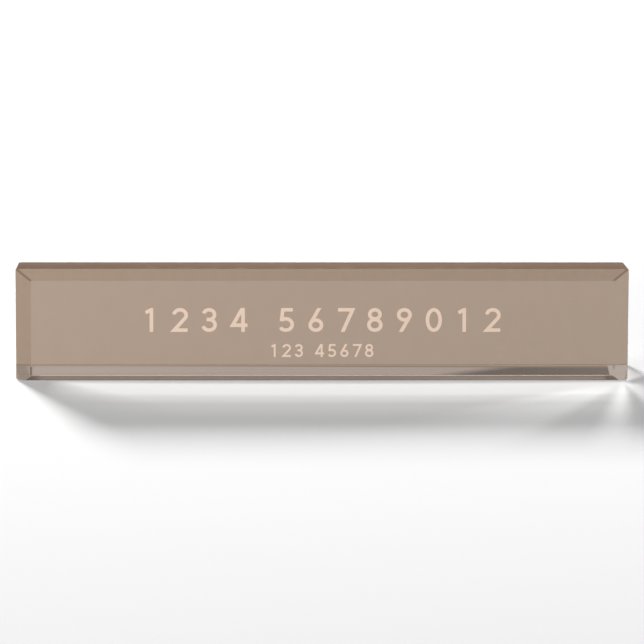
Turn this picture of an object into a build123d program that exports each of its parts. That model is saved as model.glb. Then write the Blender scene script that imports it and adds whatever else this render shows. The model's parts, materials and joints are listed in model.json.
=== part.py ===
"""Desk name plate: a clear acrylic slab that leans back on a level base, bevelled in front, printed on its back.

The plate stands on Z = 0 and its front faces -Y. The origin is the middle of its footprint.
Sizes are in millimetres and degrees.
"""

import os
from math import cos, radians, sin

from build123d import *

# Acrylic block
width = 254.0
slope_height = 46.8  # up the front's plane, from the base to the top
thickness = 25.4  # square to the front, from the front face to the printed back
front_lean = 10.0  # how far the block leans back from upright

# Bevels round the front face: runs are measured along the face, the drop square to it
bevel_drop = 2.5
side_bevel = 6.25
top_bevel = 4.7
lower_edge = 2.4  # from the base up the slope to the face's lower edge, where the base cuts the bevel short

# Polished edges
corner_radius = 0.8  # the four long corners that run from front to back
back_arris = 0.4  # the flat polished round the printed back

# Print on the back
colour_thickness = 0.1
backing_thickness = 0.1

lean = radians(front_lean)
print_thickness = colour_thickness + backing_thickness
depth_up_the_slope = (slope_height - back_arris - lower_edge) * sin(lean)
overall_depth = depth_up_the_slope + (thickness + print_thickness) * cos(lean)
toe_y = -overall_depth / 2 - lower_edge * sin(lean)  # where the front's plane, carried on, would meet the base

front = Plane(origin=(0, toe_y, 0), x_dir=(1, 0, 0), z_dir=(0, -cos(lean), sin(lean)))
backwards = Axis((0, 0, 0), -front.z_dir)


def slab():
    """The block before bevelling: a leaning slab with a level base, its long corners and its back edges eased."""
    blank = front * Box(width, 2 * slope_height, thickness, align=(Align.CENTER, Align.CENTER, Align.MAX))
    blank = split(blank, bisect_by=Plane.XY, keep=Keep.TOP)
    top_corners = blank.edges().filter_by(backwards)
    base_corners = blank.edges().filter_by(Axis.Y)
    blank = fillet(top_corners + base_corners, corner_radius)
    return chamfer(blank.faces().sort_by(backwards)[-1].edges(), back_arris)


def bevelled(blank):
    """Cuts the four bevels, each a plane that falls away outwards from an edge of the front face."""
    side_edge = width / 2 - side_bevel
    bevels = [
        (Vector(0, 1), slope_height - top_bevel, top_bevel),
        (Vector(0, -1), -lower_edge, top_bevel),
        (Vector(-1, 0), side_edge, side_bevel),
        (Vector(1, 0), side_edge, side_bevel),
    ]
    for outward, reach, run in bevels:
        normal = front.x_dir * outward.X * bevel_drop + front.y_dir * outward.Y * bevel_drop + front.z_dir * run
        bevel = Plane(origin=front.from_local_coords(outward * reach), z_dir=normal)
        blank = split(blank, bisect_by=bevel, keep=Keep.BOTTOM)
    return blank


def coat(carrier, thick):
    """A coat of ink over the flat back of what carries it."""
    return extrude(carrier.faces().sort_by(backwards)[-1], amount=thick)


acrylic_block = bevelled(slab())
colour_coat = coat(acrylic_block, colour_thickness)
backing_coat = coat(colour_coat, backing_thickness)

os.makedirs("parts", exist_ok=True)
export_step(acrylic_block, "parts/acrylic_block.step")
export_step(colour_coat, "parts/colour_coat.step")
export_step(backing_coat, "parts/backing_coat.step")
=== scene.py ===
import json
import math

import bmesh
import bpy
from mathutils import Matrix, Vector

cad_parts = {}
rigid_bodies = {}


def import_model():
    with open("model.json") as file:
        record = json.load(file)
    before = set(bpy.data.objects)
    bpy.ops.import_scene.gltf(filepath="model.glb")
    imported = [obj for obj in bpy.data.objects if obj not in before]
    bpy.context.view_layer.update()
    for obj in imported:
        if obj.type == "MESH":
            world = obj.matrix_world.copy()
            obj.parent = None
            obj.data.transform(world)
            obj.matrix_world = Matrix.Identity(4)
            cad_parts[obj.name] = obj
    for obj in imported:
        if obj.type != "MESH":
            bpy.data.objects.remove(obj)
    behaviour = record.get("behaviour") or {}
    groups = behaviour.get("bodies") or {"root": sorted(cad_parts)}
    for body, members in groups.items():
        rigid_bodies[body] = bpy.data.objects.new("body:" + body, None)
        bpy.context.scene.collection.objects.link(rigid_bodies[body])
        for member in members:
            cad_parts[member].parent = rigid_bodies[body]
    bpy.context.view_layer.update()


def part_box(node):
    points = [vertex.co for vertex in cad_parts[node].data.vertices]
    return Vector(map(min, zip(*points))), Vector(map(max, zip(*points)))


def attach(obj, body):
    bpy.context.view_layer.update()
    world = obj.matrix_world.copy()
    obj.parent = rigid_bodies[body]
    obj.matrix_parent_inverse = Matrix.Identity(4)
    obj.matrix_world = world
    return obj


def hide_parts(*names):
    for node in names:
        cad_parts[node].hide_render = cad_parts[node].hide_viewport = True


# Looks of a desk name plate: a clear acrylic slab, read through to the print on its back.
# Lengths are in millimetres, measured along the plate, up its slope and out of its front face,
# until a piece is placed: then they are metres in the part's own frame. Colours are linear.

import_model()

MM = 0.001

# Acrylic block
WIDTH = 254.0
SLOPE_HEIGHT = 46.8
THICKNESS = 25.4
LEAN = math.radians(10.0)
BEVEL_DROP = 2.5
SIDE_BEVEL = 6.25
TOP_BEVEL = 4.7
LOWER_EDGE = 2.4
CORNER_RADIUS = 0.8
CORNER_STEPS = 7
BACK_ARRIS = 0.4

# How far the rounds that polishing leaves reach in from the edges
POLISHED_EDGE = 0.3
POLISHED_MITRE = 0.75  # from the mitres of the upper bevels, which are worked longer
POLISHED_END = 0.5  # from the front face's edges at its ends
POLISHED_LOWER = 0.18  # and from its lower edge, which is the crispest
POLISHED_STEPS = 2

# Cutting and shading
SHARP = math.radians(15)  # faces that turn less than this from one another are one rounded corner
WIDE_FACE = 100.0  # square millimetres: the flats are wider than this, the rounds between them narrower
ON_THE_CUT = 1e-5  # points this near a cut lie on it
SLIVER = 1e-3  # shorter edges are closed up
SAME_POINT = 1e-4  # nearer points of a figure are joined

# Finish of the acrylic: roughness, tints, and the strokes that tools leave
REFRACTIVE_INDEX = 1.49
CLEAR_TINT = (0.985, 0.985, 0.98)
STRAIGHT_TINT = (0.98, 0.98, 0.975)  # of light that goes straight through
POLISHED = (0.001, 0.003)  # roughness from the clearest places to the haziest
POLISH_CLOUDS = 70.0
PLANED = 0.3  # roughness of the top, which is planed and not polished
# Painted shade: the grey tint that darkens the top, streaked as a planed face is
PLANED_SHADE = (0.70, 0.69, 0.715)
PLANED_DEEP_SHADE = (0.635, 0.61, 0.63)
PLANED_FRONT_SHADE = (0.86, 0.73, 0.66)  # how much deeper its front half is, painted shade too
PLANED_STROKES = (22.0, 150.0, 150.0)
SAWN = 0.45  # roughness of the bevel that the base cuts short, which keeps the haze of the saw
# Painted shade: the dark tint of the lower bevel, deeper still at its foot
SAWN_SHADE = (0.125, 0.103, 0.085)
SAWN_FOOT_SHADE = (0.085, 0.07, 0.057)
SAWN_FOOT_SHADE_HEIGHTS = (0.4, 1.6)  # where the foot's painted shade begins to turn into the bevel's, and has turned
MATT_ROUND = 0.9  # roughness of the fine edge over that bevel, which is left matt
# The matt round shows a painted highlight, the bright front band of the underlay, in this tint
LOWER_ROUND_HIGHLIGHT_TINT = (0.95, 0.89, 0.83)
LEFT_FOOT_SHADE = (0.22, 0.19, 0.165)  # painted shade at the foot of the front face's left edge
LEFT_FOOT_SHADE_HEIGHTS = (6.2, 5.8)
MITRE_SHADE = (0.45, 0.385, 0.35)  # painted shade on the mitres, for the dark lines that they show
WHEEL_STROKES = (30.0, 1400.0, 1400.0)
WHEEL_ROUGHNESS = 0.03

# How nearly a face has to turn to a direction: the cosine of the angle between them
NEAR_FLAT = 0.998
NEAR_ROUND = 0.985
NEAR_LEFT_ROUND = 0.988
NEAR_TOP = 0.74
NEAR_SOFTNESS = 0.001

# Print on the back, from the acrylic outwards
COAT = 0.1
FIGURE_BITE = 0.05  # how far the ink reaches into the acrylic, so that nothing lies between them
COLOUR_BITE = 0.02
FIGURE_DEPTH = FIGURE_BITE - COLOUR_BITE / 2
ARRIS_LEFT_CLEAR = 0.3  # the share of the eased back edge that the ink doesn't reach
BACKING_MARGIN = 0.3  # the white stops this far short of the colour

# Inks: the colour, its deep tone, roughness and gloss. Ink against the acrylic has no gloss of its own.
INKS = {
    "taupe_ink": ((0.408, 0.305, 0.235), (0.385, 0.286, 0.2185), 0.42, 0.0),
    "peach_ink": ((0.80, 0.608, 0.48), (0.771, 0.58, 0.451), 0.42, 0.0),
    "white_ink": ((0.70, 0.70, 0.68), (0.67, 0.67, 0.65), 0.46, 0.5),
}
GRAIN = {"Mottle_Scale": 260.0, "Dot_Scale": 5200.0, "Band_Spacing": 0.0042}
MOTTLE_SHARE, DOT_SHARE, BAND_SHARE = 0.6, 0.25, 0.15
GRAIN_ROUGHNESS = 0.12

# Rows of figures
CELL_WIDTH = 0.62  # as a share of a figure's height, and so is the stroke
STROKE = 0.15
FIGURE_WIDEN = 1.12
FIGURE_WIDTH = CELL_WIDTH * FIGURE_WIDEN
UPPER_ROW = {
    "count": 12, "group": 4, "first": 1, "height": 10.1, "pitch": 12.35, "gap": 7.4, "foot": 18.4,
}
LOWER_ROW = {
    "count": 8, "group": 3, "first": 1, "height": 5.5, "pitch": 5.2, "gap": 3.4, "foot": 7.8,
}

rise, run = math.sin(LEAN), math.cos(LEAN)
toe_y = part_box("acrylic_block")[0].y / MM - LOWER_EDGE * rise
PLACED = Matrix.Scale(MM, 4) @ Matrix(
    ((1, 0, 0, 0), (0, rise, -run, toe_y), (0, run, rise, 0), (0, 0, 0, 1))
)


def placed_direction(across, up, out):
    return (PLACED.to_3x3() @ Vector((across, up, out))).normalized()


def between(first, second):
    return (first + second).normalized()


OUT_OF_FRONT = placed_direction(0, 0, 1)
UP_THE_SLOPE = placed_direction(0, 1, 0)
TOP_BEVEL_FACES = placed_direction(0, BEVEL_DROP, TOP_BEVEL)
LOWER_BEVEL_FACES = placed_direction(0, -BEVEL_DROP, TOP_BEVEL)
LEFT_BEVEL_FACES = placed_direction(-BEVEL_DROP, 0, SIDE_BEVEL)
RIGHT_BEVEL_FACES = placed_direction(BEVEL_DROP, 0, SIDE_BEVEL)
LOWER_ROUND_FACES = between(LOWER_BEVEL_FACES, OUT_OF_FRONT)
LEFT_ROUND_FACES = between(LEFT_BEVEL_FACES, OUT_OF_FRONT)
MITRES = [between(TOP_BEVEL_FACES, side) for side in (LEFT_BEVEL_FACES, RIGHT_BEVEL_FACES)]

scene = bpy.context.scene


# Nodes

def feed(tree, socket, value):
    """Links another node's output to a socket, or sets its value. A colour may leave its alpha out."""
    if isinstance(value, bpy.types.NodeSocket):
        tree.links.new(value, socket)
    elif socket.type == "RGBA" and len(value) == 3:
        socket.default_value = (*value, 1.0)
    else:
        socket.default_value = value


def add(tree, kind, settings=None, **sockets):
    """Adds a node and feeds its sockets, which are given by name."""
    node = tree.nodes.new(kind)
    for name, value in (settings or {}).items():
        setattr(node, name, value)
    for name, value in sockets.items():
        socket = next(s for s in node.inputs if s.enabled and s.name.replace(" ", "_") == name)
        feed(tree, socket, value)
    return node


def calculate(tree, operation, first, second=0.0):
    node = add(tree, "ShaderNodeMath", {"operation": operation})
    for socket, value in zip(node.inputs, (first, second)):
        feed(tree, socket, value)
    return node.outputs[0]


def product(tree, first, *others):
    for other in others:
        first = calculate(tree, "MULTIPLY", first, other)
    return first


def leaning(tree, base, other, slope):
    """A base, and what each step of another value adds to it."""
    return calculate(tree, "ADD", product(tree, other, slope), base)


def blend_colours(tree, amount, first, second, way="MIX"):
    node = add(tree, "ShaderNodeMix", {"data_type": "RGBA", "blend_type": way}, Factor=amount)
    for socket, value in zip((s for s in node.inputs if s.type == "RGBA"), (first, second)):
        feed(tree, socket, value)
    return next(s for s in node.outputs if s.type == "RGBA")


def layered(tree, base, layers):
    """Lays colours over a base, each with the amount that covers what is under it."""
    for amount, colour in layers:
        base = blend_colours(tree, amount, base, colour)
    return base


def remap(tree, value, low, high, to_low, to_high, way="LINEAR"):
    node = add(
        tree, "ShaderNodeMapRange", {"interpolation_type": way}, Value=value,
        From_Min=low, From_Max=high, To_Min=to_low, To_Max=to_high,
    )
    return node.outputs["Result"]


def fade(tree, value, start, end, way="LINEAR"):
    """Grows from 0 at the start to 1 at the end, which may be the lower of the two."""
    return remap(tree, value, start, end, 0.0, 1.0, way)


def reach_towards(tree, vector, towards):
    node = add(tree, "ShaderNodeVectorMath", {"operation": "DOT_PRODUCT"})
    feed(tree, node.inputs[0], vector)
    feed(tree, node.inputs[1], towards)
    return node.outputs["Value"]


def own_place(tree):
    return add(tree, "ShaderNodeTexCoord").outputs["Object"]


def measured(tree, where, axis):
    """How far along an axis a place lies, in millimetres."""
    return calculate(tree, "DIVIDE", add(tree, "ShaderNodeSeparateXYZ", Vector=where).outputs[axis], MM)


def stroked_noise(tree, where, stretch, detail=2.0):
    """Noise drawn out into strokes."""
    drawn = add(tree, "ShaderNodeMapping", Vector=where, Scale=stretch)
    return add(tree, "ShaderNodeTexNoise", Vector=drawn.outputs[0], Scale=1.0, Detail=detail).outputs["Fac"]


def grey(level):
    return (level, level, level)


def new_material(name):
    material = bpy.data.materials.new(name)
    material.use_nodes = True
    material.node_tree.nodes.clear()
    return material, material.node_tree


def finish_material(tree, shader):
    add(tree, "ShaderNodeOutputMaterial", Surface=shader.outputs[0])


def print_grain_group():
    """The grain of a printed coat: soft mottling, fine dots and the faint bands that a print head leaves."""
    group = bpy.data.node_groups.new("print_grain", "ShaderNodeTree")
    for name in ("Mottle Scale", "Dot Scale", "Band Spacing"):
        group.interface.new_socket(name, in_out="INPUT", socket_type="NodeSocketFloat")
    for name in ("Tone", "Height"):
        group.interface.new_socket(name, in_out="OUTPUT", socket_type="NodeSocketFloat")
    given = group.nodes.new("NodeGroupInput").outputs
    where = own_place(group)
    mottle = add(
        group, "ShaderNodeTexNoise", Vector=where, Scale=given["Mottle Scale"], Detail=3.0, Roughness=0.55
    )
    dots = add(group, "ShaderNodeTexVoronoi", Vector=where, Scale=given["Dot Scale"])
    along = add(group, "ShaderNodeSeparateXYZ", Vector=where).outputs["X"]
    turns = calculate(group, "DIVIDE", along, given["Band Spacing"])
    band = calculate(group, "SINE", product(group, turns, 2 * math.pi))
    mottle_part = remap(group, mottle.outputs["Fac"], 0.3, 0.7, 0.0, MOTTLE_SHARE)
    dot_part = remap(group, dots.outputs["Distance"], 0.0, 0.7, 0.0, DOT_SHARE)
    band_part = remap(group, band, -1.0, 1.0, 0.0, BAND_SHARE)
    height = calculate(group, "ADD", dot_part, band_part)
    tone = calculate(group, "ADD", mottle_part, height)
    out = group.nodes.new("NodeGroupOutput").inputs
    group.links.new(tone, out["Tone"])
    group.links.new(height, out["Height"])
    return group


def ink_material(name, grain):
    """A printed coat."""
    colour, deep, roughness, gloss = INKS[name]
    material, tree = new_material(name)
    printed = add(tree, "ShaderNodeGroup", {"node_tree": grain}, **GRAIN).outputs
    bump = add(tree, "ShaderNodeBump", Strength=0.15, Distance=0.02 * MM, Height=printed["Height"])
    shader = add(
        tree, "ShaderNodeBsdfPrincipled",
        Base_Color=blend_colours(tree, printed["Tone"], colour, deep),
        Roughness=remap(tree, printed["Tone"], 0.0, 1.0, roughness, roughness + GRAIN_ROUGHNESS),
        Specular_IOR_Level=gloss, Normal=bump.outputs[0],
    )
    finish_material(tree, shader)
    return material


def facing_mask(tree, surface, towards, near=NEAR_FLAT):
    """1 on the faces that point one way, or nearly, and 0 elsewhere, seen from either side of the surface."""
    outside = remap(tree, surface["Backfacing"], 0.0, 1.0, 1.0, -1.0)
    facing = product(tree, reach_towards(tree, surface["True Normal"], towards), outside)
    return fade(tree, facing, near - NEAR_SOFTNESS, near + NEAR_SOFTNESS)


def planed_shade(tree, where):
    """Painted shade on the top: its streaked grey tint, deeper over its front half."""
    strokes = fade(tree, stroked_noise(tree, where, PLANED_STROKES, 3.0), 0.35, 0.65)
    tint = blend_colours(tree, strokes, PLANED_SHADE, PLANED_DEEP_SHADE)
    middle = (-THICKNESS / 2 - toe_y * run) * MM
    front_half = fade(tree, reach_towards(tree, where, OUT_OF_FRONT), middle - MM, middle + MM)
    return blend_colours(tree, front_half, tint, PLANED_FRONT_SHADE, "MULTIPLY")


def acrylic_material():
    """Clear cast acrylic. Light that leaves it from inside goes straight through, so the print is lit evenly;
    light that meets it from outside is stopped, so the block throws its whole shadow."""
    material, tree = new_material("clear_acrylic")
    where = own_place(tree)
    height = measured(tree, where, "Z")
    surface = add(tree, "ShaderNodeNewGeometry").outputs
    planed = facing_mask(tree, surface, UP_THE_SLOPE, NEAR_TOP)
    sawn = facing_mask(tree, surface, LOWER_BEVEL_FACES)
    lower_round = facing_mask(tree, surface, LOWER_ROUND_FACES, NEAR_ROUND)
    left_round = facing_mask(tree, surface, LEFT_ROUND_FACES, NEAR_LEFT_ROUND)
    left_foot_shade = product(tree, left_round, fade(tree, height, *LEFT_FOOT_SHADE_HEIGHTS))
    sawn_shade = blend_colours(tree, fade(tree, height, *SAWN_FOOT_SHADE_HEIGHTS), SAWN_FOOT_SHADE, SAWN_SHADE)
    # Painted shade on the top, the left foot, the mitres and the lower bevel; the lower round's tint colours
    # a painted highlight
    tint = layered(tree, CLEAR_TINT, [
        (planed, planed_shade(tree, where)),
        (lower_round, LOWER_ROUND_HIGHLIGHT_TINT),
        (left_foot_shade, LEFT_FOOT_SHADE),
        *((facing_mask(tree, surface, mitre, NEAR_ROUND), MITRE_SHADE) for mitre in MITRES),
        (sawn, sawn_shade),
    ])
    from_front = calculate(tree, "ABSOLUTE", reach_towards(tree, surface["Normal"], OUT_OF_FRONT))
    marks = product(tree, stroked_noise(tree, where, WHEEL_STROKES), fade(tree, from_front, 0.9, 0.55))
    clouds = add(tree, "ShaderNodeTexNoise", Vector=where, Scale=POLISH_CLOUDS, Detail=4.0)
    roughness = remap(tree, clouds.outputs["Fac"], 0.35, 0.75, *POLISHED)
    finishes = ((planed, PLANED), (sawn, SAWN), (lower_round, MATT_ROUND), (marks, WHEEL_ROUGHNESS))
    for finish, amount in finishes:
        roughness = leaning(tree, roughness, finish, amount)
    bump = add(tree, "ShaderNodeBump", Strength=0.04, Distance=0.01 * MM, Height=marks)
    glass = add(
        tree, "ShaderNodeBsdfPrincipled", Base_Color=tint, Roughness=roughness,
        IOR=REFRACTIVE_INDEX, Transmission_Weight=1.0, Normal=bump.outputs[0],
    )
    straight = add(tree, "ShaderNodeBsdfTransparent", Color=STRAIGHT_TINT)
    path = add(tree, "ShaderNodeLightPath").outputs
    leaving = product(tree, path["Is Shadow Ray"], surface["Backfacing"])
    mixed = add(tree, "ShaderNodeMixShader", Fac=calculate(tree, "MAXIMUM", leaving, path["Is Diffuse Ray"]))
    for socket, shader in zip(mixed.inputs[1:], (glass, straight)):
        feed(tree, socket, shader.outputs[0])
    finish_material(tree, mixed)
    return material


# Meshes

def cut(bm, point, outward):
    """Cuts away what lies beyond a plane, and closes the cut with one flat face."""
    geometry = bm.verts[:] + bm.edges[:] + bm.faces[:]
    made = bmesh.ops.bisect_plane(
        bm, geom=geometry, dist=ON_THE_CUT, plane_co=point, plane_no=outward, clear_outer=True
    )
    rim = [g for g in made["geom_cut"] if isinstance(g, bmesh.types.BMEdge)]
    bmesh.ops.contextual_create(bm, geom=rim)


def face_outwards(bm):
    bmesh.ops.recalc_face_normals(bm, faces=bm.faces[:])


def outwardness(face):
    """How far out of the plate's front a face lies."""
    return face.calc_center_median().z


def sharp_edges(bm):
    """A point on each edge where two flat faces meet, with the two faces' normals."""
    face_outwards(bm)
    bm.normal_update()
    return [
        (e.verts[0].co.lerp(e.verts[1].co, 0.5), *(f.normal.copy() for f in e.link_faces))
        for e in bm.edges if e.calc_face_angle() > SHARP
    ]


def round_edge(bm, point, first, second, reach, steps):
    """Rounds the edge between two faces, as far in as reach, by cuts that lie against one cylinder."""
    half = first.angle(second) / 2
    middle = between(first, second)
    radius = reach / math.tan(half)
    for i in range(steps):
        outward = first.slerp(second, (i + 1) / (steps + 1))
        depth = radius * (outward.dot(middle) / math.cos(half) - 1)
        cut(bm, point - outward * depth, outward)


def ease_edge(bm, point, first, second, reach):
    """Takes an edge off with one flat cut, as far in as reach on both faces."""
    outward = between(first, second)
    cut(bm, point - outward * reach * math.sin(first.angle(second) / 2), outward)


def is_long_corner(first, second):
    """Whether the edge between two faces runs from front to back, along an end."""
    return abs(first.x) + abs(second.x) > 0.5 and max(abs(first.z), abs(second.z)) < 0.5


def polished_reach(first, second):
    """How far in polishing rounds the edge between two faces."""
    turned = first + second
    if min(first.z, second.z) <= 0.5:
        return POLISHED_EDGE
    if abs(turned.x) > 0.2:
        if turned.y > 0.2:
            return POLISHED_MITRE
        return POLISHED_END if abs(turned.y) < 0.01 else POLISHED_EDGE
    return POLISHED_LOWER if turned.y < -0.2 else POLISHED_EDGE


def eased_slab():
    """The block before its front is bevelled: base cut level, long corners rounded, back edges eased."""
    bm = bmesh.new()
    size = Matrix.Diagonal((WIDTH, 2 * SLOPE_HEIGHT, THICKNESS, 1))
    bmesh.ops.create_cube(bm, size=1.0, matrix=Matrix.Translation((0, 0, -THICKNESS / 2)) @ size)
    cut(bm, (0, 0, 0), (0, -run, -rise))
    for point, first, second in sharp_edges(bm):
        if is_long_corner(first, second):
            round_edge(bm, point, first, second, CORNER_RADIUS, CORNER_STEPS)
    for point, first, second in sharp_edges(bm):
        if min(first.z, second.z) < -0.99:
            ease_edge(bm, point, first, second, BACK_ARRIS)
    bmesh.ops.dissolve_degenerate(bm, dist=SLIVER, edges=bm.edges[:])
    return bm


def bevel_front(bm):
    """Cuts the four bevels, and then the round that polishing leaves on each edge but those of the back."""
    side = WIDTH / 2 - SIDE_BEVEL
    cut(bm, (0, SLOPE_HEIGHT - TOP_BEVEL, 0), (0, BEVEL_DROP, TOP_BEVEL))
    cut(bm, (0, LOWER_EDGE, 0), (0, -BEVEL_DROP, TOP_BEVEL))
    cut(bm, (side, 0, 0), (BEVEL_DROP, 0, SIDE_BEVEL))
    cut(bm, (-side, 0, 0), (-BEVEL_DROP, 0, SIDE_BEVEL))
    for point, first, second in sharp_edges(bm):
        if point.z > -THICKNESS + 2 * BACK_ARRIS:
            round_edge(bm, point, first, second, polished_reach(first, second), POLISHED_STEPS)
    bmesh.ops.dissolve_degenerate(bm, dist=SLIVER, edges=bm.edges[:])
    face_outwards(bm)
    return bm


def printed_bed(slab):
    """The flat back and most of its eased edge, which the colour covers."""
    bm = slab.copy()
    cut(bm, (0, 0, -THICKNESS + BACK_ARRIS * (1 - ARRIS_LEFT_CLEAR)), (0, 0, 1))
    face_outwards(bm)
    bmesh.ops.delete(bm, geom=[max(bm.faces, key=outwardness)], context="FACES")
    return bm


def backing_sheet(slab):
    """The flat back less its margin, moved out to lie on the colour."""
    bm = slab.copy()
    face_outwards(bm)
    flat = min(bm.faces, key=outwardness)
    bmesh.ops.delete(bm, geom=[f for f in bm.faces if f is not flat], context="FACES")
    made = bmesh.ops.inset_region(bm, faces=bm.faces[:], thickness=BACKING_MARGIN, use_boundary=True)
    bmesh.ops.delete(bm, geom=made["faces"], context="FACES")
    bmesh.ops.translate(bm, verts=bm.verts[:], vec=(0, 0, -COAT))
    return bm


def arc(centre, radius, start, end, steps=28, upright=None):
    """Points along an arc, by angles in degrees. An oval has another radius upright."""
    turns = [math.radians(start + (end - start) * i / steps) for i in range(steps + 1)]
    up = upright or radius
    return [(centre[0] + radius * math.cos(t), centre[1] + up * math.sin(t)) for t in turns]


def ring(centre, radius, steps=56, upright=None):
    return arc(centre, radius, 0, 360, steps, upright)[:-1]


def leaning_stem(centre, radius, tip):
    """The straight stroke from a tip to where it touches a bowl on its left."""
    away = Vector(tip) - Vector(centre)
    turn = math.atan2(away.y, away.x) + math.acos(radius / away.length)
    return [tip, (centre[0] + radius * math.cos(turn), centre[1] + radius * math.sin(turn))]


def half_turned(points):
    return [(CELL_WIDTH - x, 1.0 - y) for x, y in points]


def figure_strokes():
    """Centre lines of the ten figures, in cells 1 high and not yet widened: each is open or closed."""
    bowl_centre, bowl_radius = (0.31, 0.285), 0.21
    six_stem = leaning_stem(bowl_centre, bowl_radius, (0.47, 1.06))
    bowl = ring(bowl_centre, bowl_radius)
    return [
        [(ring((0.31, 0.5), 0.235, 64, 0.425), True)],
        [([(0.13, 0.80), (0.345, 0.935), (0.345, -0.05)], False)],
        [(arc((0.31, 0.70), 0.225, 172, -40) + [(0.09, 0.075), (0.59, 0.075)], False)],
        [
            (arc((0.29, 0.722), 0.203, 165, -90) + [(0.20, 0.519)], False),
            ([(0.20, 0.519)] + arc((0.29, 0.297), 0.222, 90, -165), False),
        ],
        [
            ([(0.47, 1.06), (0.07, 0.28), (0.62, 0.28)], False),
            ([(0.455, -0.05), (0.455, 1.05)], False),
        ],
        [
            ([(0.55, 0.925), (0.18, 0.925), (0.1295, 0.448)], False),
            (arc((0.29, 0.312), 0.237, 124, -148), False),
        ],
        [(six_stem, False), (bowl, True)],
        [([(0.04, 0.925), (0.575, 0.925), (0.19, -0.05)], False)],
        [(ring((0.31, 0.735), 0.19), True), (ring((0.31, 0.295), 0.22), True)],
        [(half_turned(six_stem), False), (half_turned(bowl), True)],
    ]


def stroke_sides(points, closed):
    """The two sides of a stroke, mitred where it turns."""
    line = [Vector((x * FIGURE_WIDEN, y)) for x, y in points]
    left, right = [], []
    for i, point in enumerate(line):
        before = line[i - 1] if closed or i else None
        after = line[(i + 1) % len(line)] if closed or i + 1 < len(line) else None
        coming = (point - before).normalized() if before else (after - point).normalized()
        going = (after - point).normalized() if after else coming
        across = Vector((-coming.y, coming.x)) + Vector((-going.y, going.x))
        across *= STROKE / across.dot(across)
        left.append(point + across)
        right.append(point - across)
    return left, right


def stroke_mesh(points, closed):
    """A stroke as a thin closed slab."""
    bm = bmesh.new()
    sides = stroke_sides(points, closed)
    rows = [[bm.verts.new((p.x, p.y, z)) for p in side] for side in sides for z in (0.0, FIGURE_DEPTH)]
    count = len(points)
    for i in range(count if closed else count - 1):
        j = (i + 1) % count
        for first, second in ((0, 2), (3, 1), (1, 0), (2, 3)):
            bm.faces.new((rows[first][i], rows[first][j], rows[second][j], rows[second][i]))
    if not closed:
        for i in (0, count - 1):
            bm.faces.new([rows[r][i] for r in (0, 1, 3, 2)])
    face_outwards(bm)
    return bm


def loose_object(name, bm):
    mesh = bpy.data.meshes.new(name)
    bm.to_mesh(mesh)
    bm.free()
    return bpy.data.objects.new(name, mesh)


def plain_mesh(obj):
    """What an object's modifiers make of it, as a mesh to work on."""
    graph = bpy.context.evaluated_depsgraph_get()
    bm = bmesh.new()
    bm.from_mesh(bpy.data.meshes.new_from_object(obj.evaluated_get(graph)))
    return bm


def figure_shapes():
    """The ten figures, each one closed shape trimmed to its height, in a collection of their own."""
    shapes = bpy.data.collections.new("figure_shapes")
    scene.collection.children.link(shapes)
    for number, strokes in enumerate(figure_strokes()):
        parts = [loose_object(f"stroke_{number}_{i}", stroke_mesh(*s)) for i, s in enumerate(strokes)]
        for part in parts:
            scene.collection.objects.link(part)
        for other in parts[1:]:
            join = parts[0].modifiers.new("join", "BOOLEAN")
            join.operation, join.solver, join.object = "UNION", "EXACT", other
        bm = plain_mesh(parts[0])
        for part in parts:
            bpy.data.objects.remove(part)
        cut(bm, (0, 1, 0), (0, 1, 0))
        cut(bm, (0, 0, 0), (0, -1, 0))
        bmesh.ops.remove_doubles(bm, verts=bm.verts[:], dist=SAME_POINT)
        face_outwards(bm)
        shapes.objects.link(loose_object(f"figure_{number}", bm))
    return shapes


def figure_row_tree():
    """Sets figures side by side, counting up from the first, with a wider gap after the first group."""
    tree = bpy.data.node_groups.new("figure_row", "GeometryNodeTree")
    sockets = {
        "Shapes": "Collection", "Count": "Int", "Group": "Int", "First": "Int",
        "Height": "Float", "Pitch": "Float", "Gap": "Float", "Ink": "Material",
    }
    for name, kind in sockets.items():
        tree.interface.new_socket(name, in_out="INPUT", socket_type=f"NodeSocket{kind}")
    tree.interface.new_socket("Geometry", in_out="OUTPUT", socket_type="NodeSocketGeometry")
    given = tree.nodes.new("NodeGroupInput").outputs
    index = add(tree, "GeometryNodeInputIndex").outputs[0]
    past_group = calculate(tree, "GREATER_THAN", calculate(tree, "ADD", index, 0.5), given["Group"])
    along = leaning(tree, product(tree, index, given["Pitch"]), past_group, given["Gap"])
    number = calculate(tree, "MODULO", calculate(tree, "ADD", index, given["First"]), 10.0)
    place = add(tree, "ShaderNodeCombineXYZ", X=along)
    size = add(tree, "ShaderNodeCombineXYZ", X=given["Height"], Y=given["Height"], Z=1.0)
    line = add(tree, "GeometryNodeMeshLine", Count=given["Count"])
    spread = add(tree, "GeometryNodeSetPosition", Geometry=line.outputs[0], Position=place.outputs[0])
    shapes = add(
        tree, "GeometryNodeCollectionInfo", Collection=given["Shapes"],
        Separate_Children=True, Reset_Children=True,
    )
    set_out = add(
        tree, "GeometryNodeInstanceOnPoints", Points=spread.outputs[0], Instance=shapes.outputs[0],
        Pick_Instance=True, Instance_Index=number, Scale=size.outputs[0],
    )
    real = add(tree, "GeometryNodeRealizeInstances", Geometry=set_out.outputs[0])
    inked = add(tree, "GeometryNodeSetMaterial", Geometry=real.outputs[0], Material=given["Ink"])
    out = tree.nodes.new("NodeGroupOutput")
    tree.links.new(inked.outputs[0], out.inputs[0])
    return tree


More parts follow.
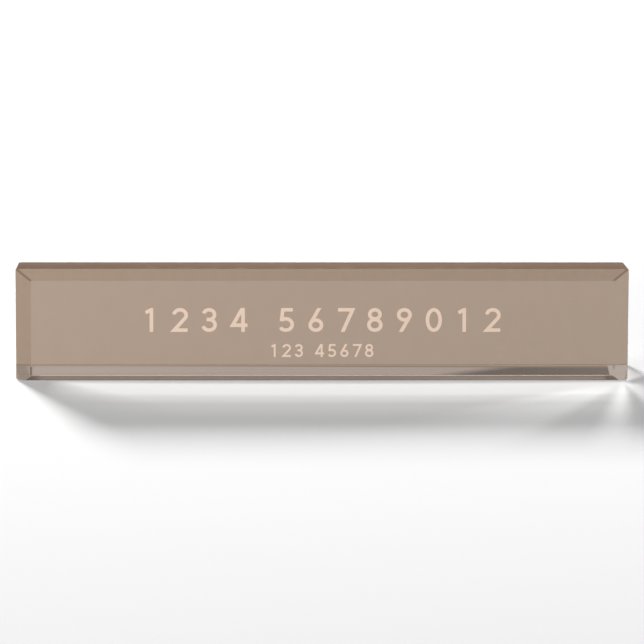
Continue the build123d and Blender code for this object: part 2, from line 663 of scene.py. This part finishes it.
def figure_row_mesh(tree, shapes, ink, row):
    """One row of figures as a plain mesh, centred on the plate and standing on its own foot line."""
    carrier = loose_object("row_carrier", bmesh.new())
    scene.collection.objects.link(carrier)
    modifier = carrier.modifiers.new("row", "NODES")
    modifier.node_group = tree
    values = {"shapes": shapes, "ink": ink, **row}
    for item in tree.interface.items_tree:
        if item.in_out == "INPUT":
            modifier[item.identifier] = values[item.name.lower()]
    bm = plain_mesh(carrier)
    bpy.data.objects.remove(carrier)
    length = (row["count"] - 1) * row["pitch"] + row["gap"] + FIGURE_WIDTH * row["height"]
    out = -THICKNESS + FIGURE_BITE - FIGURE_DEPTH
    bmesh.ops.translate(bm, verts=bm.verts[:], vec=(-length / 2, row["foot"], out))
    return bm


# Pieces

def add_piece(name, bm, material):
    bm.transform(PLACED)
    piece = loose_object(name, bm)
    piece.data.materials.append(material)
    scene.collection.objects.link(piece)
    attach(piece, "root")
    return piece


def thicken(piece, inwards, outwards):
    """Gives a coat its thickness: inwards is towards the acrylic."""
    modifier = piece.modifiers.new("coat", "SOLIDIFY")
    modifier.thickness = (inwards + outwards) * MM
    modifier.offset = (outwards - inwards) / (inwards + outwards)
    modifier.use_even_offset = True


def shade_flats(mesh):
    """Wide faces are shaded flat, and the narrow rounds between them turn smoothly from one to the next."""
    wide = [face.area > WIDE_FACE * MM * MM for face in mesh.polygons]
    meeting = {}
    for face in mesh.polygons:
        for vertex in face.vertices:
            meeting.setdefault(vertex, []).append(face)
    normals = []
    for face in mesh.polygons:
        for vertex in face.vertices:
            around = [f for f in meeting[vertex] if wide[f.index]] or meeting[vertex]
            turned = sum((f.normal for f in around), Vector()).normalized()
            normals.append(face.normal if wide[face.index] else turned)
    mesh.shade_smooth()
    mesh.normals_split_custom_set(normals)


grain = print_grain_group()
acrylic = acrylic_material()
taupe, peach, white = (ink_material(name, grain) for name in INKS)

slab = eased_slab()

colour_print = add_piece("colour_print", printed_bed(slab), taupe)
thicken(colour_print, COLOUR_BITE, COAT)
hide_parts("colour_coat")

white_backing = add_piece("white_backing", backing_sheet(slab), white)
thicken(white_backing, 0.0, COAT)
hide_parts("backing_coat")

clear_block = add_piece("clear_block", bevel_front(slab), acrylic)
shade_flats(clear_block.data)
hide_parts("acrylic_block")

shapes = figure_shapes()
row_tree = figure_row_tree()
for name, row in (("upper_figures", UPPER_ROW), ("lower_figures", LOWER_ROW)):
    add_piece(name, figure_row_mesh(row_tree, shapes, peach, row), peach)
for shape in shapes.objects[:]:
    bpy.data.objects.remove(shape)
bpy.data.collections.remove(shapes)


# Stage

HALF_FLOOR = 6.0  # metres
FLOOR_Z = -0.1 * MM
# Painted shade: the floor is darker nearer the camera and lighter behind
FLOOR_NEAR, FLOOR_FAR = grey(0.685), grey(0.96)
FLOOR_FADE = (-400.0, 100.0)  # where the nearer shade begins to turn into the farther one, and has turned
FLOOR_BOUNCED = grey(0.17)  # the floor as bounced light meets it

# Light on the floor, by millimetres ahead of the plate. The band: its strength, how much it bows over the
# first 100 mm from the middle, the fan that opens it at its left end, and where it falls off at its right.
BAND = {0.0: 0.06, 2.2: 0.14, 5.6: 0.43, 16.0: 0.4, 23.0: 0.24, 32.0: 0.105, 50.0: 0.022, 90.0: 0.0}
BAND_REACH = max(BAND)
BAND_BOW = 1.3
FAN_X, FAN_BEHIND = -113.0, 4.0
FAN_SLOPES = (-0.1, 1.4)
BAND_END = (124.5, 128.5)
BAND_PAST_END = 0.15

# The rays: each line's start and slope, its width to either side and how that grows, and where it begins,
# is strongest and ends
RAYS = {
    "end": {
        "start": 125.4, "slope": -0.145, "left": (1.5, 0.18), "right": (1.6, 0.14),
        "span": (-8.0, 26.0, 90.0), "strength": 0.29,
    },
    "slant": {
        "start": 124.5, "slope": -0.75, "left": (10.0, 1.1), "right": (4.0, 0.16),
        "span": (3.0, 16.0, 95.0), "strength": 0.17,
    },
    "wide": {
        "start": 129.0, "slope": -1.67, "left": (6.0, 0.3), "right": (4.0, 0.1),
        "span": (8.0, 17.0, 45.0), "strength": 0.06,
    },
    "outer": {
        "start": 125.6, "slope": 0.28, "left": (1.2, 0.16), "right": (6.0, 0.4),
        "span": (2.0, 6.0, 50.0), "strength": 0.38,
    },
}

# The light beside the right end: where it is strongest, how far it reaches, and the slants of its back
# and front edges, each with the place where it begins and the place where it is whole
BESIDE_X = 128.0
BESIDE_STRENGTH = 0.46
BESIDE_REACH = 9.5
BESIDE_EDGES = ((-1.7, -22.5, -15.0), (0.9, 1.5, -3.5))

# Underlay: painted light and shade under the plate, in tones that turn from a left one into a right one, and
# where they begin and end to turn
UNDERLAY_Z = 0.02
UNDERLAY_INSET = 1.5
UNDERLAY_TONES = {
    "lit": ((0.40, 0.325, 0.275), (0.345, 0.275, 0.235), -100.0, 60.0),
    "dark": ((0.118, 0.093, 0.073), (0.15, 0.118, 0.092), 85.0, 118.0),
    # painted shade: the dark line of the seam
    "painted_seam_shade": ((0.36, 0.27, 0.205), (0.24, 0.165, 0.112), -90.0, 20.0),
    # the print's tone, painted where the base shows the print
    "print": ((0.397, 0.293, 0.223), (0.357, 0.265, 0.202), -100.0, 100.0),
    # painted highlight: the bright band that the lower round shows as its light line
    "painted_highlight": ((1.55, 1.35, 1.19), (2.0, 1.78, 1.6), 35.0, 70.0),
}
UNDERLAY_STROKES = (6.0, 420.0, 1.0)
WEDGE_SLANT = -2.1
WEDGE_LEFT, WEDGE_FRONT = (57.0, 74.0), (-8.5, -6.5)
SEAM_SLANT = 0.008
SEAM_LINE, PRINT_BAND = (5.0, 5.9), (7.2, 8.3)
# Painted light at the right end of the underlay, and painted shade at its left end
RIGHT_END, RIGHT_END_PAINTED_LIGHT = (119.7, 120.1), (0.42, 0.345, 0.295)
LEFT_END, LEFT_END_PAINTED_SHADE = (-119.8, -121.2), (0.315, 0.255, 0.21)
STRIP_FRONT, STRIP_BACK, STRIP_ENDS = (-10.4, -10.0), (-6.0, -6.4), (118.5, 117.5)


def stage_plane(name, corners, material):
    mesh = bpy.data.meshes.new(name)
    mesh.from_pydata(corners, [], [range(len(corners))])
    mesh.materials.append(material)
    plane = bpy.data.objects.new(name, mesh)
    scene.collection.objects.link(plane)
    return plane


def seen_by(plane, *kinds):
    for kind in ("camera", "diffuse", "glossy", "transmission", "shadow"):
        setattr(plane, f"visible_{kind}", kind in kinds)


def ray_of_light(tree, across, ahead, start, slope, left, right, span, strength):
    """A ray on the floor that leaves the plate's right end, spreads to its left and right, and fails."""
    offset = calculate(tree, "SUBTRACT", across, leaning(tree, start, ahead, slope))
    left_edge = leaning(tree, -left[0], ahead, -left[1])
    right_edge = leaning(tree, right[0], ahead, right[1])
    inside = calculate(
        tree, "MINIMUM",
        fade(tree, offset, left_edge, 0.0, "SMOOTHSTEP"),
        remap(tree, offset, 0.0, right_edge, 1.0, 0.0, "SMOOTHSTEP"),
    )
    growing = remap(tree, ahead, span[0], span[1], 0.0, strength)
    return product(tree, inside, growing, fade(tree, ahead, span[2], span[1]))


def light_beside(tree, across, ahead):
    """Light that leaves the plate's right end sideways: it slants at both its edges and fails outwards."""
    beyond = calculate(tree, "SUBTRACT", across, BESIDE_X)
    edges = [
        fade(tree, leaning(tree, ahead, beyond, slant), start, end) for slant, start, end in BESIDE_EDGES
    ]
    failing = remap(tree, beyond, 0.0, BESIDE_REACH, BESIDE_STRENGTH, 0.0)
    past_plate = calculate(tree, "GREATER_THAN", across, WIDTH / 2 - 0.5)
    return product(tree, *edges, failing, past_plate)


def gathered_light(tree, where):
    """Light that the clear block gathers on the floor: a band in front, rays from its right end, and the
    light beside that end."""
    across = measured(tree, where, "X")
    ahead = calculate(tree, "SUBTRACT", toe_y + LOWER_EDGE / 2, measured(tree, where, "Y"))
    squared = calculate(tree, "POWER", calculate(tree, "DIVIDE", across, 100.0), 2.0)
    bowed = leaning(tree, ahead, squared, BAND_BOW)
    profile = add(tree, "ShaderNodeValToRGB", Fac=fade(tree, bowed, 0.0, BAND_REACH))
    profile.color_ramp.interpolation = "EASE"
    stops = profile.color_ramp.elements
    for distance in list(BAND)[1:-1]:
        stops.new(distance / BAND_REACH)
    for stop, strength in zip(stops, BAND.values()):
        stop.color = (*grey(strength), 1.0)
    from_left = calculate(tree, "SUBTRACT", across, FAN_X)
    fan = calculate(tree, "DIVIDE", from_left, calculate(tree, "ADD", ahead, FAN_BEHIND))
    light = product(
        tree, profile.outputs["Color"], fade(tree, fan, *FAN_SLOPES),
        remap(tree, across, *BAND_END, 1.0, BAND_PAST_END),
    )
    for ray in RAYS.values():
        light = calculate(tree, "ADD", light, ray_of_light(tree, across, ahead, **ray))
    in_front = calculate(tree, "GREATER_THAN", ahead, 0.0)
    return leaning(tree, light_beside(tree, across, ahead), light, in_front)


def floor_material():
    material, tree = new_material("pale_floor")
    where = own_place(tree)
    path = add(tree, "ShaderNodeLightPath").outputs
    shade = blend_colours(tree, fade(tree, measured(tree, where, "Y"), *FLOOR_FADE), FLOOR_NEAR, FLOOR_FAR)
    shader = add(
        tree, "ShaderNodeBsdfPrincipled", Roughness=0.9, Specular_IOR_Level=0.0,
        Base_Color=blend_colours(tree, path["Is Diffuse Ray"], shade, FLOOR_BOUNCED),
        Emission_Color=grey(1.0),
        Emission_Strength=product(tree, gathered_light(tree, where), path["Is Camera Ray"]),
    )
    finish_material(tree, shader)
    return material


def underlay_material():
    """Painted light and shade on the floor under the plate, where it meets the acrylic: the light that the
    block lets down on it, painted, fails in a wedge towards the right end, with a painted dark seam line and
    the print's tone painted behind it. Its painted bright front band, a highlight for the lower round, is
    hidden from rays that polished faces bend."""
    material, tree = new_material("lit_underlay")
    where = own_place(tree)
    across, away = (measured(tree, where, axis) for axis in "XY")
    tones = {
        name: blend_colours(tree, fade(tree, across, start, end), left, right)
        for name, (left, right, start, end) in UNDERLAY_TONES.items()
    }
    slanting = leaning(tree, across, away, WEDGE_SLANT)
    wedge = product(tree, fade(tree, slanting, *WEDGE_LEFT), fade(tree, away, *WEDGE_FRONT))
    back = leaning(tree, away, across, SEAM_SLANT)
    sharply_seen = add(tree, "ShaderNodeLightPath").outputs["Is Singular Ray"]
    painted_highlight = product(
        tree, fade(tree, away, *STRIP_FRONT), fade(tree, away, *STRIP_BACK),
        fade(tree, calculate(tree, "ABSOLUTE", across), *STRIP_ENDS),
        calculate(tree, "SUBTRACT", 1.0, sharply_seen),
    )
    shade = layered(tree, tones["lit"], [
        (wedge, tones["dark"]),
        (fade(tree, back, *SEAM_LINE), tones["painted_seam_shade"]),
        (fade(tree, back, *PRINT_BAND), tones["print"]),
        (fade(tree, across, *RIGHT_END), RIGHT_END_PAINTED_LIGHT),
        (fade(tree, across, *LEFT_END), LEFT_END_PAINTED_SHADE),
        (painted_highlight, tones["painted_highlight"]),
    ])
    strokes = stroked_noise(tree, where, UNDERLAY_STROKES)
    shader = add(tree, "ShaderNodeEmission", Color=shade, Strength=remap(tree, strokes, 0.3, 0.7, 0.92, 1.08))
    finish_material(tree, shader)
    return material


floor = stage_plane(
    "floor",
    [(x * HALF_FLOOR, y * HALF_FLOOR, FLOOR_Z) for x, y in ((-1, -1), (1, -1), (1, 1), (-1, 1))],
    floor_material(),
)
seen_by(floor, "camera", "diffuse", "transmission", "shadow")

foot_side = WIDTH / 2 - UNDERLAY_INSET
foot_front = toe_y + 0.9 * LOWER_EDGE
foot_back = toe_y + THICKNESS / run - BACK_ARRIS
underlay = stage_plane(
    "underlay",
    [
        (side * foot_side * MM, y * MM, UNDERLAY_Z * MM)
        for side, y in ((-1, foot_front), (1, foot_front), (1, foot_back), (-1, foot_back))
    ],
    underlay_material(),
)
seen_by(underlay, "camera", "glossy", "transmission")


def add_lamp(name, kind, place, **settings):
    """Adds a lamp that faces the plate and isn't seen itself."""
    lamp = bpy.data.lights.new(name, kind)
    for key, value in settings.items():
        setattr(lamp, key, value)
    holder = bpy.data.objects.new(name, lamp)
    holder.location = place
    holder.rotation_euler = place.to_track_quat("Z", "Y").to_euler()
    holder.visible_camera = False
    holder.visible_glossy = False
    holder.visible_transmission = False
    scene.collection.objects.link(holder)


def lamp_place(azimuth, elevation, distance):
    """The azimuth is turned from straight behind the plate to its left."""
    a, e = math.radians(azimuth), math.radians(elevation)
    return Vector((-math.sin(a) * math.cos(e), math.cos(a) * math.cos(e), math.sin(e))) * distance


add_lamp(
    "key", "SUN", lamp_place(azimuth=25.3, elevation=26.1, distance=2.0),
    energy=4.7, angle=math.radians(14.0),
)
add_lamp(
    "fill", "AREA", lamp_place(azimuth=145, elevation=9.5, distance=2.6),
    energy=64.0, shape="RECTANGLE", size=1.4, size_y=0.9,
)


def studio_world():
    """White to the eye, plain for light, and a room for the polished faces to mirror: brightness low in
    front and to the right, and brown behind."""
    world = bpy.data.worlds.new("studio")
    world.use_nodes = True
    sky = world.node_tree
    sky.nodes.clear()
    seen = add(sky, "ShaderNodeLightPath").outputs
    generated = add(sky, "ShaderNodeTexCoord").outputs["Generated"]
    towards = add(sky, "ShaderNodeSeparateXYZ", Vector=generated).outputs
    shown = calculate(sky, "MAXIMUM", seen["Is Camera Ray"], seen["Is Transmission Ray"])
    plain = blend_colours(sky, shown, grey(0.35), grey(1.0))
    low_right = product(sky, fade(sky, towards["Z"], 0.42, 0.2), fade(sky, towards["X"], -0.45, -0.2))
    in_front = blend_colours(sky, low_right, grey(0.06), grey(1.3))
    behind = blend_colours(
        sky, fade(sky, towards["X"], -0.06, 0.0), (0.02, 0.01, 0.005), (0.18, 0.115, 0.07)
    )
    mirrored = blend_colours(sky, fade(sky, towards["Y"], -0.1, 0.1), in_front, behind)
    around = blend_colours(sky, seen["Is Glossy Ray"], plain, mirrored)
    background = add(sky, "ShaderNodeBackground", Color=around, Strength=1.0)
    add(sky, "ShaderNodeOutputWorld", Surface=background.outputs[0])
    return world


scene.world = studio_world()

# Camera

PIXELS = 644
FOCAL_PIXELS = 3887.3
CAMERA_PLACE = (-34.075, -1547.38, 507.6)
CAMERA_PITCH, CAMERA_YAW, CAMERA_ROLL = 17.47, 1.262, 0.372
view = bpy.data.cameras.new("camera")
view.sensor_width = 36.0
view.lens = FOCAL_PIXELS / PIXELS * view.sensor_width
view.clip_end = 50.0
camera = bpy.data.objects.new("camera", view)
camera.matrix_world = (
    Matrix.Translation(Vector(CAMERA_PLACE) * MM)
    @ Matrix.Rotation(math.radians(-CAMERA_YAW), 4, "Z")
    @ Matrix.Rotation(math.radians(90 - CAMERA_PITCH), 4, "X")
    @ Matrix.Rotation(math.radians(CAMERA_ROLL), 4, "Z")
)
scene.collection.objects.link(camera)
scene.camera = camera

scene.view_settings.view_transform = "Standard"
scene.cycles.caustics_reflective = False
scene.cycles.caustics_refractive = False
